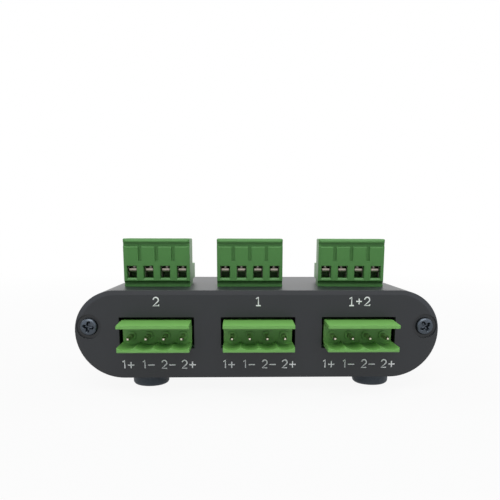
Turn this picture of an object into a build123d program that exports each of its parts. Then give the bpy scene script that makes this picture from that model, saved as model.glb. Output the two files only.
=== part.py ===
from build123d import *
import math
import os

# Loudspeaker selector box: an extruded aluminium case on four rubber feet. Two latching push
# buttons stand out of the front panel and three four-way pin headers out of the rear panel.
# The three pluggable terminal blocks that mate with the headers stand unplugged on the case.
#
# Millimetres. +X is to the right as seen from the front, +Y points to the rear (headers) and
# +Z is up. The origin is under the middle of the case, on the surface the feet stand on.

# ---------------------------------------------------------------- driving dimensions

# Case: a tube with a flat top and bottom, closed by two flat panels
case_width = 107.0
case_height = 26.0
shell_length = 48.0
shell_wall = 1.6
shell_edge = 0.2               # the saw cut's edges are broken by this much
end_radius_top = 12.0          # the upper arc of each end is the tighter one
panel_thickness = 2.0
bevel_width = 1.3              # shallow bevel round the outer face of a panel
bevel_depth = 0.3

# Stick-on rubber feet
foot_height = 4.2
foot_radius = 5.55
foot_chamfer = 1.0
foot_end_inset = 18.8          # from the case's ends to the feet's middles
foot_face_inset = 10.5         # and from its front and rear
foot_shift_x = -1.4            # the feet sit a little off the middle

# Panel screws: thread-forming pan heads, one at each end of a panel
screw_inset = 4.1              # from the end of the case
screw_rise = 2.4               # above the middle of the case
screw_core_radius = 1.2
screw_length = 7.5             # under the head
screw_head_radius = 2.65
screw_head_height = 1.4
screw_head_chamfer = 0.6
screw_recess_radius = 3.6      # round dish in the panel that the head lies in
screw_recess_depth = 0.6
cross_slot_width = 0.75
cross_slot_length = 2.9
cross_slot_depth = 0.8
boss_radius = 2.9
boss_slot_width = 1.0          # an extruded screw channel is open along one side

# Circuit board, held in grooves along both sides of the shell
board_thickness = 1.6
board_drop = 3.75              # its top face lies this far below the middle of the case
rail_thickness = 1.1
rail_reach = 3.4               # from the board's edge inwards
board_end_gap = 0.4            # to each panel
solder_length = 2.2            # how far legs stick out below the board
leg_gap = 0.12                 # round a leg in its punched hole

# Push switches
button_spacing = 15.1
button_rise = 2.95             # above the middle of the case
button_travel = 3.2
cap_radius = 4.15
cap_reach = 8.0                # in front of the front panel
cap_tail = 0.5                 # behind the front panel
cap_wall = 1.0
cap_rounding = 0.6
cap_hole_radius = 4.9
cap_sleeve_width = 5.2
stem_width = 3.0
stem_grip = 5.0                # how far the stem reaches into the cap
switch_width = 12.4
switch_length = 21.0
switch_wall = 1.0
switch_roof = 5.8              # top of the housing above the button's axis
slider_width = 7.0
slider_height = 8.0
slider_length = 14.3
spring_bore_radius = 2.8
spring_bore_depth = 8.0
spring_radius = 2.2
spring_wire_radius = 0.25
spring_turns = 5.0
wire_sides = 6                 # springs and latch pins are drawn with a six-sided wire
cam_length = 6.0
cam_depth = 1.2
heart_radius = 0.42
heart_point = 1.26             # from the middle of the cam to the heart's point
latch_wire_radius = 0.35
latch_bend_radius = 0.6
latch_length = 6.5
latch_slot_width = 1.4
terminal_pitch = 2.5
terminals_per_side = 6
terminal_thickness = 0.4
terminal_width = 0.9
terminal_rise = 1.0            # above the button's axis
contact_length = 4.2
contact_height = 1.8
contact_thickness = 0.3
contact_nib_length = 0.6

# Pin headers and terminal plugs: four poles on the standard 5.08 mm pitch
pole_count = 4
pole_pitch = 5.08
header_spacing = 29.7
header_height = 8.05
header_reach = 8.0             # in front of the rear panel
header_recess = 1.5            # from the rear panel's outer face inwards to the header's wall
header_wall = 2.5
header_roof = 1.3              # thickness of the upper flange at the rear panel
header_lip = 0.9               # and at its lip
header_sill = 0.65             # thickness of the lower flange under a trough
header_crest = 1.4             # and between two troughs
header_edge = 0.15             # broken edges of the lower flange
trough_radius = 4.4
collar_radius = 1.3
collar_height = 0.5
pin_width = 1.0
pin_tip_width = 0.5
pin_taper = 0.9
pin_height = 3.25              # above the board
pin_reach = 4.6                # in front of the rear panel
pin_tail = 1.6                 # behind the header's wall
outlet_gap_side = 0.75         # panel cut-out round a header
outlet_gap_above = 0.85
outlet_gap_below = 0.4

plug_side_play = 0.05          # the plug is narrower than the header by this on each side
plug_depth = 10.2              # of the body, without the nose
plug_height = 14.7
plug_edge = 0.2                # broken edges round the top
plug_end_slope_width = 0.9     # the wire face falls back at both ends
plug_end_slope_depth = 0.45
plug_inset = 11.0              # from the rear face of the case to the wire face
plug_places = {"b": 30.8, "a": 2.25, "io": -29.8}
plug_turns = {"b": 0.0, "a": 0.0, "io": -4.0}
plug_base_height = 0.8
plug_base_setback = 1.0
plug_sill_height = 1.9
plug_sill_notch = 0.45         # undercut behind the sill
ridge_height = 1.1             # grip ridge along the top of the wire face
ridge_slope = 0.7
ridge_groove_height = 1.2
ridge_groove_depth = 0.8
face_slope = 0.35              # bevel along the wire face's upper edge
slot_width = 1.0               # upright slots between the poles
slot_foot = 7.95
nose_end_gap = 0.5             # between the nose's end and the header's wall
nose_gap = 0.2                 # between the nose and the header's troughs
window_width = 2.8             # wire entry
window_foot = 2.75
window_height = 3.6
window_funnel = 0.15           # the entry is wider at its mouth
window_sill_drop = 0.5         # and its sill slopes down to it
window_mouth_depth = 0.4
chamber_floor = 1.2            # the clamp cage's chamber
chamber_top = 10.6
neck_length = 0.9
head_bore_radius = 2.0
cage_width = 3.7
cage_depth = 4.4
cage_height = 6.6
cage_floor = 0.8
cage_roof = 1.2
cage_side = 0.5
cage_lift = 1.8                # four turns of a 0.45 mm thread
clamp_screw_radius = 1.2
clamp_head_radius = 1.75
clamp_head_height = 1.6
clamp_slot_width = 0.6
clamp_slot_depth = 0.8
strip_width = 2.3              # the sprung socket is bent up from a thick strip
strip_thickness = 0.8
strip_bend_radius = 0.5
lip_height = 1.3               # of the upturned lip that guides the wire under the tongue
leaf_length = 8.0
leaf_thickness = 0.3
leaf_height = 1.3
leaf_gap = 1.2

# Clearances
slide_gap = 0.1                # flat faces that slide on each other
running_gap = 0.05             # a leg, stem or shank in its hole
thread_gap = 0.05              # clamp screw in its cage
neck_gap = 0.18                # clamp screw in the housing's neck
clear_gap = 0.3                # between pieces that must not touch

# ---------------------------------------------------------------- derived places

case_mid = foot_height + case_height / 2
case_top = foot_height + case_height
rear_face = shell_length / 2 + panel_thickness
front_face = -rear_face
end_radius_low = case_height - end_radius_top
widest_line = case_height / 2 - end_radius_top
screw_place_x = case_width / 2 - screw_inset
foot_place_x = case_width / 2 - foot_end_inset
foot_place_y = rear_face - foot_face_inset

board_top = case_mid - board_drop
board_middle = board_drop + board_thickness / 2
inner_end_radius = end_radius_low - shell_wall
board_underside = widest_line + board_drop + board_thickness
inner_half_width = (
    case_width / 2 - end_radius_low + math.sqrt(inner_end_radius**2 - board_underside**2)
)
board_half_width = inner_half_width - slide_gap
screw_hole_radius = screw_core_radius + running_gap

button_axis = case_mid + button_rise
switch_front = cap_tail + button_travel + clear_gap
slider_front = switch_front + switch_wall + clear_gap
axis_above_board = button_axis - board_top
stem_front = cap_tail - stem_grip
latch_swing = 2 * heart_radius + latch_wire_radius + slide_gap
cam_width = 2 * (latch_swing + latch_wire_radius + clear_gap)

header_width = pole_count * pole_pitch
pole_x = [(i - (pole_count - 1) / 2) * pole_pitch for i in range(pole_count)]
header_places = {"b": header_spacing, "a": 0.0, "io": -header_spacing}
header_base = board_top
trough_centre = header_sill + trough_radius
trough_rim = trough_centre - math.sqrt(trough_radius**2 - (pole_pitch / 2) ** 2)
header_back = header_recess + header_wall
cavity_top = header_height - header_roof
cavity_depth = header_recess + header_reach
pin_end = pin_tail - pin_width / 2

plug_y = rear_face - plug_inset - plug_depth
cage_y = plug_depth / 2
chamber_width = cage_width + 2 * slide_gap
chamber_depth = cage_depth + 2 * slide_gap
cage_low = chamber_floor + 2 * slide_gap
tongue_low = cage_low + cage_floor + cage_lift + clear_gap
tongue_end = cage_y + cage_depth / 2 + clear_gap + strip_thickness
head_seat = chamber_top + neck_length
nose_length = cavity_depth - nose_end_gap
nose_top = cavity_top - clear_gap
plug_width = header_width - 2 * plug_side_play


def save(piece, name):
    """Label a finished piece and write its STEP file."""
    piece.label = name
    export_step(piece, f"parts/{name}.step")


def across(y, z=case_mid):
    """The upright plane across the case at y, with its origin at height z. Its normal is -Y."""
    return Plane(origin=(0, y, z), x_dir=(1, 0, 0), z_dir=(0, -1, 0))


def case_section(inset=0.0):
    """The case's cross-section, drawn in by inset: flat top and bottom, ends of two arcs."""
    half = case_width / 2 - inset
    top = case_height / 2 - inset
    with BuildSketch(Plane.XY, mode=Mode.PRIVATE) as section:
        with BuildLine():
            roof = Line((0, top), (half + inset - end_radius_top, top))
            crown = TangentArc(roof @ 1, (half, widest_line), tangent=roof % 1)
            haunch = TangentArc(
                crown @ 1, (half + inset - end_radius_low, -top), tangent=crown % 1
            )
            Line(haunch @ 1, (0, -top))
            mirror(about=Plane.YZ)
        make_face()
    return section.sketch


os.makedirs("parts", exist_ok=True)

# ---------------------------------------------------------------- case

screw_places = [(-screw_place_x, screw_rise), (screw_place_x, screw_rise)]
rail_middle = board_half_width + (case_width / 2 - board_half_width - rail_reach) / 2
rail_width = case_width / 2 - board_half_width + rail_reach
rail_pitch = board_thickness + 2 * slide_gap + rail_thickness

with BuildPart() as case_shell:
    with BuildSketch(across(-shell_length / 2)):
        add(case_section())
        add(case_section(shell_wall), mode=Mode.SUBTRACT)
        with Locations(*screw_places):
            Circle(boss_radius)
        with Locations((0, -board_middle)):
            with GridLocations(2 * rail_middle, rail_pitch, 2, 2):
                Rectangle(rail_width, rail_thickness)
        add(case_section(), mode=Mode.INTERSECT)
        with Locations(*screw_places):
            Circle(screw_hole_radius, mode=Mode.SUBTRACT)
        for x, z in screw_places:
            inwards = -math.copysign(boss_radius / 2, x)
            with Locations((x + inwards, z)):
                Rectangle(boss_radius, boss_slot_width, mode=Mode.SUBTRACT)
    extrude(amount=-shell_length)
    ends = case_shell.faces().filter_by(Axis.Y).sort_by(Axis.Y)
    chamfer([edge for end in (ends[0], ends[-1]) for edge in end.outer_wire().edges()], shell_edge)
save(case_shell.part, "case_shell")


def bevel_outline(part, outer_y):
    """Bevel the outline edges of a panel's outer face."""
    face = part.faces().filter_by(Axis.Y).sort_by(lambda f: abs(f.center().Y - outer_y))[0]
    chamfer(face.outer_wire().edges(), length=bevel_width, length2=bevel_depth, reference=face)


# A panel's screws each lie in a shallow dish with a clearance hole: radius and depth of both
screw_cuts = [
    (screw_recess_radius, screw_recess_depth),
    (screw_core_radius + clear_gap, panel_thickness),
]
front_plane = across(front_face)
rear_plane = Plane(origin=(0, rear_face, case_mid), x_dir=(-1, 0, 0), z_dir=(0, 1, 0))
button_places = [(-button_spacing / 2, button_rise), (button_spacing / 2, button_rise)]

with BuildPart() as front_panel:
    with BuildSketch(front_plane):
        add(case_section())
    extrude(amount=-panel_thickness)
    bevel_outline(front_panel, front_face)
    for radius, depth in screw_cuts:
        with BuildSketch(front_plane):
            with Locations(*screw_places):
                Circle(radius)
        extrude(amount=-depth, mode=Mode.SUBTRACT)
    with BuildSketch(front_plane):
        with Locations(*button_places):
            Circle(cap_hole_radius)
    extrude(amount=-panel_thickness, mode=Mode.SUBTRACT)
save(front_panel.part, "front_panel")

outlet_width = header_width + 2 * outlet_gap_side
outlet_height = header_height + outlet_gap_above + outlet_gap_below
outlet_middle = header_base - outlet_gap_below + outlet_height / 2 - case_mid

with BuildPart() as rear_panel:
    with BuildSketch(rear_plane):
        add(case_section())
    extrude(amount=-panel_thickness)
    bevel_outline(rear_panel, rear_face)
    for radius, depth in screw_cuts:
        with BuildSketch(rear_plane):
            with Locations(*screw_places):
                Circle(radius)
        extrude(amount=-depth, mode=Mode.SUBTRACT)
    with BuildSketch(rear_plane):
        with Locations(*[(-x, outlet_middle) for x in header_places.values()]):
            Rectangle(outlet_width, outlet_height)
    extrude(amount=-panel_thickness, mode=Mode.SUBTRACT)
save(rear_panel.part, "rear_panel")

# One panel screw, its head's underside on the origin and its head towards +Z
with BuildPart() as panel_screw:
    with BuildSketch():
        Circle(screw_head_radius)
    extrude(amount=screw_head_height)
    chamfer(panel_screw.edges().group_by(Axis.Z)[-1], screw_head_chamfer)
    with BuildSketch(Plane.XY.offset(screw_head_height)):
        Rectangle(cross_slot_length, cross_slot_width)
        Rectangle(cross_slot_width, cross_slot_length)
    extrude(amount=-cross_slot_depth, mode=Mode.SUBTRACT)
    with BuildSketch():
        Circle(screw_core_radius)
    extrude(amount=-screw_length)


def screw_pair(plane):
    """Two panel screws seated in the recesses of the panel whose outer face is on plane."""
    seat = plane.offset(-screw_recess_depth)
    return Compound(
        children=[seat.location * Pos(x, z, 0) * panel_screw.part for x, z in screw_places]
    )


save(screw_pair(front_plane), "front_panel_screws")
save(screw_pair(rear_plane), "rear_panel_screws")

with BuildPart() as foot:
    with BuildSketch():
        Circle(foot_radius)
    extrude(amount=foot_height)
    chamfer(foot.edges().group_by(Axis.Z)[0], foot_chamfer)
for row, y in (("front", -foot_place_y), ("rear", foot_place_y)):
    for side, x in (("left", -foot_place_x), ("right", foot_place_x)):
        save(Pos(x + foot_shift_x, y, 0) * foot.part, f"foot_{row}_{side}")

# ---------------------------------------------------------------- circuit board

board_length = shell_length - 2 * board_end_gap
header_leg_y = rear_face - header_back - pin_end
header_legs = [(hx + px, header_leg_y) for hx in header_places.values() for px in pole_x]
terminal_y = [
    switch_front + switch_length / 2 + (i - (terminals_per_side - 1) / 2) * terminal_pitch
    for i in range(terminals_per_side)
]
terminal_x = switch_width / 2 - switch_wall - terminal_thickness / 2
terminal_spots = [(side * terminal_x, y) for side in (-1, 1) for y in terminal_y]
switch_legs = [
    (bx + tx, ty - shell_length / 2) for bx, _ in button_places for tx, ty in terminal_spots
]

with BuildPart() as circuit_board:
    with BuildSketch(Plane.XY.offset(board_top)):
        Rectangle(2 * board_half_width, board_length)
        with Locations(*header_legs):
            Rectangle(pin_width + 2 * leg_gap, pin_width + 2 * leg_gap, mode=Mode.SUBTRACT)
        with Locations(*switch_legs):
            Rectangle(terminal_thickness + 2 * leg_gap, terminal_width + 2 * leg_gap, mode=Mode.SUBTRACT)
    extrude(amount=-board_thickness)
save(circuit_board.part, "circuit_board")

# ---------------------------------------------------------------- push switches
# Drawn with the button's axis along Y through the origin, which is on the front panel's
# inner face, and then set at the two button places.

cap_front = -(panel_thickness + cap_reach)
housing_floor = -axis_above_board
housing_height = switch_roof + axis_above_board
inner_roof = switch_roof - switch_wall
inner_length = switch_length - 2 * switch_wall
cam_y = slider_front + slider_length / 2
latch_y = cam_y + button_travel / 2
slider_top = slider_height / 2

with BuildPart() as button_cap:
    with BuildSketch(across(cap_tail, 0)):
        Circle(cap_radius)
    extrude(amount=cap_tail - cap_front)
    fillet(button_cap.edges().group_by(Axis.Y)[0], cap_rounding)
    with BuildSketch(across(cap_tail, 0)):
        Circle(cap_radius - cap_wall)
        Rectangle(cap_sleeve_width, cap_sleeve_width, mode=Mode.SUBTRACT)
    extrude(amount=cap_tail - cap_front - 2 * cap_wall, mode=Mode.SUBTRACT)
    with BuildSketch(across(cap_tail, 0)):
        Rectangle(stem_width + 2 * running_gap, stem_width + 2 * running_gap)
    extrude(amount=stem_grip + running_gap, mode=Mode.SUBTRACT)

with BuildPart() as switch_plunger:
    with BuildSketch(across(stem_front, 0)):
        Rectangle(stem_width, stem_width)
    extrude(amount=-(slider_front - stem_front))
    with BuildSketch(across(slider_front, 0)):
        Rectangle(slider_width, slider_height)
    extrude(amount=-slider_length)
    with BuildSketch(across(slider_front + slider_length, 0)):
        Circle(spring_bore_radius)
    extrude(amount=spring_bore_depth, mode=Mode.SUBTRACT)
    # Heart-shaped cam track for the latch pin, in the slider's top
    with BuildSketch(Plane.XY.offset(slider_top)):
        with Locations((0, cam_y)):
            Rectangle(cam_width, cam_length)
        with Locations((-heart_radius, cam_y - heart_radius), (heart_radius, cam_y - heart_radius)):
            Circle(heart_radius, mode=Mode.SUBTRACT)
        with BuildLine():
            Polyline(
                (-2 * heart_radius, cam_y - heart_radius),
                (2 * heart_radius, cam_y - heart_radius),
                (0, cam_y + heart_point),
                close=True,
            )
        make_face(mode=Mode.SUBTRACT)
    extrude(amount=-cam_depth, mode=Mode.SUBTRACT)

with BuildPart() as switch_housing:
    with BuildSketch(across(switch_front, housing_floor + housing_height / 2)):
        Rectangle(switch_width, housing_height)
    extrude(amount=-switch_length)
    with BuildSketch(across(switch_front + switch_wall, (inner_roof + housing_floor + switch_wall) / 2)):
        Rectangle(switch_width - 2 * switch_wall, inner_roof - housing_floor - switch_wall)
    extrude(amount=-inner_length, mode=Mode.SUBTRACT)
    with BuildSketch(across(switch_front, 0)):
        Rectangle(stem_width + 2 * clear_gap, stem_width + 2 * clear_gap)
    extrude(amount=-switch_wall, mode=Mode.SUBTRACT)
    # Roof: a pivot hole and a swing slot for the latch pin
    with BuildSketch(Plane.XY.offset(switch_roof)):
        with Locations((0, latch_y - latch_length)):
            Circle(latch_wire_radius + running_gap)
        with Locations((0, latch_y)):
            Rectangle(cam_width, latch_slot_width)
    extrude(amount=-switch_wall, mode=Mode.SUBTRACT)
    with BuildSketch(Plane.XY.offset(housing_floor)):
        with Locations(*terminal_spots):
            Rectangle(terminal_thickness, terminal_width + 2 * running_gap)
    extrude(amount=switch_wall, mode=Mode.SUBTRACT)

spring_start = slider_front + slider_length - spring_bore_depth
spring_length = switch_front + switch_wall + inner_length - spring_start
spring_free = spring_length - 2 * spring_wire_radius - 2 * slide_gap

with BuildPart() as return_spring:
    with BuildLine():
        coil = Helix(
            pitch=spring_free / spring_turns,
            height=spring_free,
            radius=spring_radius,
            center=(0, spring_start + slide_gap + spring_wire_radius, 0),
            direction=(0, 1, 0),
        )
    with BuildSketch(coil ^ 0):
        RegularPolygon(spring_wire_radius, wire_sides)
    sweep(is_frenet=True)

latch_height = switch_roof + latch_wire_radius + slide_gap
latch_tip = slider_top - cam_depth + clear_gap

with BuildPart() as latch_pin:
    with BuildLine():
        FilletPolyline(
            (0, latch_y - latch_length, switch_roof - switch_wall + slide_gap),
            (0, latch_y - latch_length, latch_height),
            (latch_swing, latch_y, latch_height),
            (latch_swing, latch_y, latch_tip),
            radius=latch_bend_radius,
        )
    with BuildSketch(Plane.XY.offset(switch_roof - switch_wall + slide_gap)):
        with Locations((0, latch_y - latch_length)):
            RegularPolygon(latch_wire_radius, wire_sides)
    sweep()

nib_reach = terminal_x - terminal_thickness / 2 - clear_gap - slider_width / 2 - contact_thickness
pole_y = [sum(terminal_y[:2]) / 2, sum(terminal_y[3:5]) / 2]

with BuildPart() as moving_contacts:
    for side in (-1, 1):
        wall = Plane(origin=(side * slider_width / 2, 0, 0), x_dir=(0, 1, 0), z_dir=(side, 0, 0))
        with BuildSketch(wall):
            with Locations(*[(y, 0) for y in pole_y]):
                Rectangle(contact_length, contact_height)
        extrude(amount=contact_thickness)
        with BuildSketch(wall.offset(contact_thickness)):
            with Locations(*[(y, 0) for y in pole_y]):
                with GridLocations(terminal_pitch, 0, 2, 1):
                    Rectangle(contact_nib_length, contact_height)
        extrude(amount=nib_reach)

with BuildPart() as switch_terminals:
    with BuildSketch(Plane.XY.offset(terminal_rise)):
        with Locations(*terminal_spots):
            Rectangle(terminal_thickness, terminal_width)
    extrude(amount=-(terminal_rise + axis_above_board + board_thickness + solder_length))

switch_pieces = {
    "button_cap": button_cap,
    "switch_plunger": switch_plunger,
    "switch_housing": switch_housing,
    "return_spring": return_spring,
    "latch_pin": latch_pin,
    "moving_contacts": moving_contacts,
    "switch_terminals": switch_terminals,
}
for channel, (x, _) in zip("ab", button_places):
    for name, piece in switch_pieces.items():
        save(Pos(x, -shell_length / 2, button_axis) * piece.part, f"{name}_{channel}")

# ---------------------------------------------------------------- pin headers
# Drawn with the origin on the board under the middle of the header, in the plane of the rear
# panel's outer face, and then set at the three header places.

outlet = Plane(origin=(0, 0, 0), x_dir=(-1, 0, 0), z_dir=(0, 1, 0))
cavity_wall = outlet.offset(-header_recess)
pin_spots = [(x, pin_height) for x in pole_x]

with BuildPart() as header_housing:
    with BuildSketch(Plane.YZ.offset(-header_width / 2)):
        with BuildLine():
            Polyline(
                (-header_back, 0),
                (header_reach, 0),
                (header_reach, trough_rim),
                (-header_recess, trough_rim),
                (-header_recess, cavity_top),
                (header_reach, cavity_top),
                (header_reach, cavity_top + header_lip),
                (0, header_height),
                (-header_back, header_height),
                close=True,
            )
        make_face()
    extrude(amount=header_width)
    chamfer(header_housing.edges().group_by(Axis.Z)[0], header_edge)
    # Half-round troughs along the lower flange, with flat crests between them
    with BuildSketch(cavity_wall):
        with Locations(*[(x, trough_centre) for x in pole_x]):
            Circle(trough_radius)
        with Locations((0, (header_crest + trough_centre) / 2)):
            Rectangle(header_width - pole_pitch, trough_centre - header_crest)
        with Locations((0, cavity_top / 2)):
            Rectangle(header_width, cavity_top, mode=Mode.INTERSECT)
    extrude(amount=cavity_depth, mode=Mode.SUBTRACT)
    with BuildSketch(cavity_wall):
        with Locations(*pin_spots):
            Circle(collar_radius)
    extrude(amount=collar_height)
    with BuildSketch(cavity_wall.offset(collar_height)):
        with Locations(*pin_spots):
            Rectangle(pin_width + 2 * running_gap, pin_width + 2 * running_gap)
    extrude(amount=-(header_wall + collar_height), mode=Mode.SUBTRACT)

with BuildPart() as header_pins:
    with BuildSketch(outlet.offset(-header_back - pin_tail)):
        with Locations(*pin_spots):
            Rectangle(pin_width, pin_width)
    extrude(amount=header_back + pin_tail + pin_reach - pin_taper)
    for x in pole_x:
        with BuildSketch(outlet.offset(pin_reach - pin_taper)):
            with Locations((x, pin_height)):
                Rectangle(pin_width, pin_width)
        with BuildSketch(outlet.offset(pin_reach)):
            with Locations((x, pin_height)):
                Rectangle(pin_tip_width, pin_tip_width)
        loft()
    with BuildSketch(Plane.XY.offset(pin_height - pin_width / 2)):
        with Locations(*[(x, -header_back - pin_end) for x in pole_x]):
            Rectangle(pin_width, pin_width)
    extrude(amount=-(pin_height - pin_width / 2 + board_thickness + solder_length))

for row, x in header_places.items():
    place = Pos(x, rear_face, header_base)
    save(place * header_housing.part, f"header_housing_{row}")
    save(place * header_pins.part, f"header_pins_{row}")

# ---------------------------------------------------------------- terminal plugs
# Drawn standing on the origin, with the wire face towards +Y and the nose towards -Y, and
# then set on the case.

window_middle = window_foot + window_height / 2
mouth_height = window_height + window_funnel + window_sill_drop
mouth_middle = window_foot - window_sill_drop + mouth_height / 2
ridge_foot = plug_height - ridge_height
groove_foot = ridge_foot - ridge_groove_height
base_front = plug_depth - plug_base_setback
notch_back = base_front - plug_sill_notch
wire_face = Plane(origin=(0, plug_depth, 0), x_dir=(-1, 0, 0), z_dir=(0, 1, 0))
passage_width = strip_width + 2 * slide_gap
socket_low = pin_height - leaf_height / 2 - slide_gap
socket_top = pin_height + leaf_height / 2 + slide_gap
tongue_top = tongue_low + strip_thickness
passage_low = tongue_low - slide_gap
passage_top = tongue_low + lip_height + slide_gap
chamber_back = cage_y - chamber_depth / 2

with BuildPart() as plug_housing:
    with BuildSketch(Plane.YZ.offset(-plug_width / 2)):
        with BuildLine():
            Polyline(
                (0, 0),
                (base_front, 0),
                (base_front, plug_base_height),
                (notch_back, plug_base_height),
                (notch_back, plug_base_height + plug_sill_notch),
                (plug_depth, plug_sill_height),
                (plug_depth, groove_foot - face_slope),
                (plug_depth - face_slope, groove_foot),
                (plug_depth - ridge_groove_depth, groove_foot),
                (plug_depth - ridge_groove_depth, ridge_foot),
                (plug_depth, ridge_foot),
                (plug_depth, plug_height - ridge_slope),
                (plug_depth - ridge_slope, plug_height),
                (0, plug_height),
                close=True,
            )
        make_face()
    extrude(amount=plug_width)
    with BuildSketch():
        with BuildLine():
            Polyline(
                (0, 0),
                (plug_width / 2, 0),
                (plug_width / 2, plug_depth - plug_end_slope_depth),
                (plug_width / 2 - plug_end_slope_width, plug_depth),
                (0, plug_depth),
            )
            mirror(about=Plane.YZ)
        make_face()
    extrude(amount=plug_height, mode=Mode.INTERSECT)
    chamfer(plug_housing.faces().sort_by(Axis.Z)[-1].outer_wire().edges(), plug_edge)
    # Nose with one rounded lobe for each pole
    with BuildSketch(Plane.XZ):
        with Locations(*[(x, trough_centre) for x in pole_x]):
            Circle(trough_radius - nose_gap)
        with Locations((0, (trough_centre + nose_top) / 2)):
            Rectangle(header_width - pole_pitch, nose_top - trough_centre)
        with Locations((0, nose_top / 2)):
            Rectangle(plug_width, nose_top, mode=Mode.INTERSECT)
    extrude(amount=nose_length)
    # Upright slots between the poles
    with BuildSketch(wire_face):
        with Locations((0, (slot_foot + groove_foot) / 2)):
            with GridLocations(pole_pitch, 0, pole_count - 1, 1):
                Rectangle(slot_width, groove_foot - slot_foot)
    extrude(amount=-ridge_groove_depth, mode=Mode.SUBTRACT)
    # Wire entries, wider at the mouth and with a sloping sill
    with BuildSketch(wire_face):
        with Locations(*[(x, window_middle) for x in pole_x]):
            Rectangle(window_width, window_height)
    extrude(amount=-(plug_depth - cage_y), mode=Mode.SUBTRACT)
    for x in pole_x:
        with BuildSketch(wire_face):
            with Locations((x, mouth_middle)):
                Rectangle(window_width + 2 * window_funnel, mouth_height)
        with BuildSketch(wire_face.offset(-window_mouth_depth)):
            with Locations((x, window_middle)):
                Rectangle(window_width, window_height)
        loft(mode=Mode.SUBTRACT)
    # Chambers for the clamp cages, with the clamp screws' necks and head bores above
    with BuildSketch(Plane.XY.offset(chamber_floor)):
        with Locations(*[(x, cage_y) for x in pole_x]):
            Rectangle(chamber_width, chamber_depth)
    extrude(amount=chamber_top - chamber_floor, mode=Mode.SUBTRACT)
    with BuildSketch(Plane.XY.offset(chamber_top)):
        with Locations(*[(x, cage_y) for x in pole_x]):
            Rectangle(2 * (clamp_screw_radius + neck_gap), 2 * (clamp_screw_radius + neck_gap))
    extrude(amount=neck_length, mode=Mode.SUBTRACT)
    with BuildSketch(Plane.XY.offset(head_seat)):
        with Locations(*[(x, cage_y) for x in pole_x]):
            Circle(head_bore_radius)
    extrude(amount=plug_height - head_seat, mode=Mode.SUBTRACT)
    # For the contacts: a pocket for the upright strip, a way into the chamber for its tongue
    # and a passage through the nose
    with BuildSketch(Plane.XZ):
        with Locations(*[(x, (socket_low + passage_top) / 2) for x in pole_x]):
            Rectangle(passage_width, passage_top - socket_low)
    extrude(amount=-(strip_thickness + 2 * slide_gap), mode=Mode.SUBTRACT)
    with BuildSketch(Plane.XZ):
        with Locations(*[(x, (passage_low + passage_top) / 2) for x in pole_x]):
            Rectangle(passage_width, passage_top - passage_low)
    extrude(amount=-chamber_back, mode=Mode.SUBTRACT)
    with BuildSketch(Plane.XZ):
        with Locations(*[(x, pin_height) for x in pole_x]):
            Rectangle(passage_width, socket_top - socket_low)
    extrude(amount=nose_length, mode=Mode.SUBTRACT)

web_middle = slide_gap + strip_thickness / 2
tongue_middle = tongue_low + strip_thickness / 2
lip_middle = tongue_end - strip_thickness / 2

# Sprung sockets for the header's pins, each with a tongue that the wire is clamped against
with BuildPart() as plug_contacts:
    for x in pole_x:
        with BuildSketch(Plane.YZ.offset(x - strip_width / 2)):
            with BuildLine():
                FilletPolyline(
                    (web_middle, socket_low + slide_gap),
                    (web_middle, tongue_middle),
                    (lip_middle, tongue_middle),
                    (lip_middle, tongue_low + lip_height),
                    radius=strip_bend_radius,
                )
            trace(line_width=strip_thickness)
        extrude(amount=strip_width)
    with BuildSketch(Plane.XZ.offset(-slide_gap)):
        with Locations(*[(x, pin_height) for x in pole_x]):
            with GridLocations(leaf_gap + leaf_thickness, 0, 2, 1):
                Rectangle(leaf_thickness, leaf_height)
    extrude(amount=leaf_length)

# One clamp cage and one clamp screw, on the pole's centre line
with BuildPart() as clamp_cage:
    with BuildSketch(Plane.XY.offset(cage_low)):
        Rectangle(cage_width, cage_depth)
    extrude(amount=cage_height)
    with BuildSketch(Plane.XZ.offset(-cage_depth / 2)):
        with Locations((0, cage_low + (cage_floor + cage_height - cage_roof) / 2)):
            Rectangle(cage_width - 2 * cage_side, cage_height - cage_floor - cage_roof)
    extrude(amount=cage_depth, mode=Mode.SUBTRACT)
    with BuildSketch(Plane.XY.offset(cage_low + cage_height)):
        Circle(clamp_screw_radius + thread_gap)
    extrude(amount=-cage_roof, mode=Mode.SUBTRACT)

screw_tip = tongue_top + clear_gap
clamp_head_low = head_seat + running_gap

with BuildPart() as clamp_screw:
    with BuildSketch(Plane.XY.offset(screw_tip)):
        Circle(clamp_screw_radius)
    extrude(amount=clamp_head_low - screw_tip)
    with BuildSketch(Plane.XY.offset(clamp_head_low)):
        Circle(clamp_head_radius)
    extrude(amount=clamp_head_height)
    with BuildSketch(Plane.XY.offset(clamp_head_low + clamp_head_height)):
        Rectangle(2 * clamp_head_radius, clamp_slot_width)
    extrude(amount=-clamp_slot_depth, mode=Mode.SUBTRACT)

for row, x in plug_places.items():
    place = Pos(x, plug_y, case_top) * Rot(0, 0, plug_turns[row])
    save(place * plug_housing.part, f"plug_housing_{row}")
    save(place * plug_contacts.part, f"plug_contacts_{row}")
    for number, pole in enumerate(pole_x, start=1):
        at_pole = place * Pos(pole, cage_y, 0)
        save(at_pole * clamp_cage.part, f"clamp_cage_{row}_{number}")
        save(at_pole * clamp_screw.part, f"clamp_screw_{row}_{number}")
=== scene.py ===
"""Dresses a loudspeaker selector box: finishes, screen print, screws, stage, light and camera."""

import math

import bmesh
import bpy
from bpy.props import FloatProperty, FloatVectorProperty, PointerProperty, StringProperty
from mathutils import Matrix, Vector


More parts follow.
